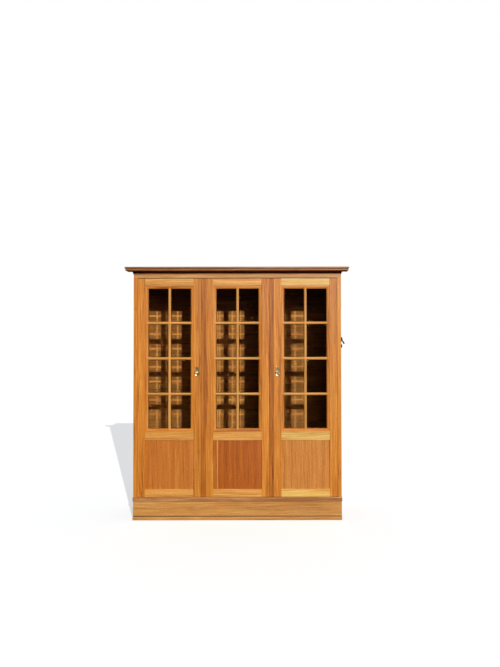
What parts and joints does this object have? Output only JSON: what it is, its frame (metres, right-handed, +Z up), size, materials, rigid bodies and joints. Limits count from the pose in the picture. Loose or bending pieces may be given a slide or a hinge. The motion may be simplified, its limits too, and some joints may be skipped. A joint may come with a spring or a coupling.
{
  "type": "glazed bookcase",
  "caption": "Tall oak bookcase with glazed and panelled hinged doors over a plinth, moulded cornice, key locks, inner shelves and a drop handle on one side.",
  "frame": {"origin": "on the floor, under the middle of the whole width and depth, cornice included", "axes": "+Z up, front with the doors towards -Y, +X to the right seen from the front"},
  "size_m": [1.67, 0.436, 1.89],
  "materials": {
    "oak": "waxed golden oak, upright grain, satin",
    "rail_oak": "waxed lighter oak, grain along the rail, satin",
    "panel_oak": "waxed quarter-sawn oak, satin",
    "strip_oak": "waxed brown oak, satin",
    "plinth_oak": "worn waxed oak",
    "dark_oak": "dark waxed oak",
    "back_board": "unpolished softwood boards",
    "inner_board": "thinly stained inner boards",
    "glass": "clear bevelled panes",
    "brass": "aged polished brass",
    "steel": "dull steel",
    "iron": "blackened iron"
  },
  "bodies": {
    "carcass": {"left_side": "oak", "right_side": "oak", "top_board": "oak", "cornice": "dark_oak", "base_board": "dark_oak", "plinth_front": "plinth_oak", "plinth_left": "plinth_oak", "plinth_right": "plinth_oak", "plinth_back": "inner_board", "partition": "inner_board", "left_fixed_shelf": "inner_board", "right_fixed_shelf": "inner_board", "left_loose_shelf": "inner_board", "right_loose_shelf": "inner_board", "left_door_stop": "inner_board", "right_door_stop": "inner_board", "back_panel": "back_board", "side_handle_plate": "iron"},
    "left_door": {"left_door_left_stile": "oak", "left_door_right_stile": "oak", "left_door_top_rail": "rail_oak", "left_door_lock_rail": "rail_oak", "left_door_bottom_rail": "rail_oak", "left_door_glazing_bars": "rail_oak", "left_door_glass": "glass", "left_door_panel": "panel_oak", "left_door_top_pivot": "brass", "left_door_bottom_pivot": "brass", "left_door_key_plate": "brass", "left_door_lock_case": "steel"},
    "middle_door": {"middle_door_left_stile": "oak", "middle_door_right_stile": "oak", "middle_door_top_rail": "rail_oak", "middle_door_lock_rail": "rail_oak", "middle_door_bottom_rail": "rail_oak", "middle_door_glazing_bars": "rail_oak", "middle_door_glass": "glass", "middle_door_panel": "panel_oak", "middle_door_top_pivot": "brass", "middle_door_bottom_pivot": "brass", "middle_door_closing_strip": "strip_oak"},
    "right_door": {"right_door_left_stile": "oak", "right_door_right_stile": "oak", "right_door_top_rail": "rail_oak", "right_door_lock_rail": "rail_oak", "right_door_bottom_rail": "rail_oak", "right_door_glazing_bars": "rail_oak", "right_door_glass": "glass", "right_door_panel": "panel_oak", "right_door_top_pivot": "brass", "right_door_bottom_pivot": "brass", "right_door_closing_strip": "strip_oak", "right_door_key_plate": "brass", "right_door_lock_case": "steel"},
    "left_door_key": {"left_door_key": "brass"},
    "left_door_lock_bolt": {"left_door_lock_bolt": "brass"},
    "right_door_key": {"right_door_key": "brass"},
    "right_door_lock_bolt": {"right_door_lock_bolt": "brass"},
    "side_handle_bail": {"side_handle_bail": "iron"}
  },
  "joints": [
    {"name": "left_door_swing", "type": "hinge", "parent": "carcass", "child": "left_door", "pos_m": [-0.74, -0.156, 0.171], "axis": [0, 0, -1], "range_deg": [0, 105]},
    {"name": "middle_door_swing", "type": "hinge", "parent": "carcass", "child": "middle_door", "pos_m": [0.22933, -0.156, 0.171], "axis": [0, 0, 1], "range_deg": [0, 95]},
    {"name": "right_door_swing", "type": "hinge", "parent": "carcass", "child": "right_door", "pos_m": [0.74, -0.156, 0.171], "axis": [0, 0, 1], "range_deg": [0, 105]},
    {"name": "left_key_turn", "type": "hinge", "parent": "left_door", "child": "left_door_key", "pos_m": [-0.30233, -0.162, 1.1], "axis": [0, 1, 0], "range_deg": [0, 90]},
    {"name": "left_bolt_throw", "type": "slide", "parent": "left_door", "child": "left_door_lock_bolt", "axis": [1, 0, 0], "range_m": [0, 0.012]},
    {"name": "right_key_turn", "type": "hinge", "parent": "right_door", "child": "right_door_key", "pos_m": [0.30233, -0.162, 1.1], "axis": [0, 1, 0], "range_deg": [0, 90]},
    {"name": "right_bolt_throw", "type": "slide", "parent": "right_door", "child": "right_door_lock_bolt", "axis": [-1, 0, 0], "range_m": [0, 0.012]},
    {"name": "side_handle_swing", "type": "hinge", "parent": "carcass", "child": "side_handle_bail", "pos_m": [0.7893, -0.092, 1.352], "axis": [0, -1, 0], "range_deg": [0, 85]}
  ],
  "couplings": [
    {"joint": "left_key_turn", "follows": "left_bolt_throw", "rad_per_m": 130.89},
    {"joint": "right_key_turn", "follows": "right_bolt_throw", "rad_per_m": 130.89}
  ]
}
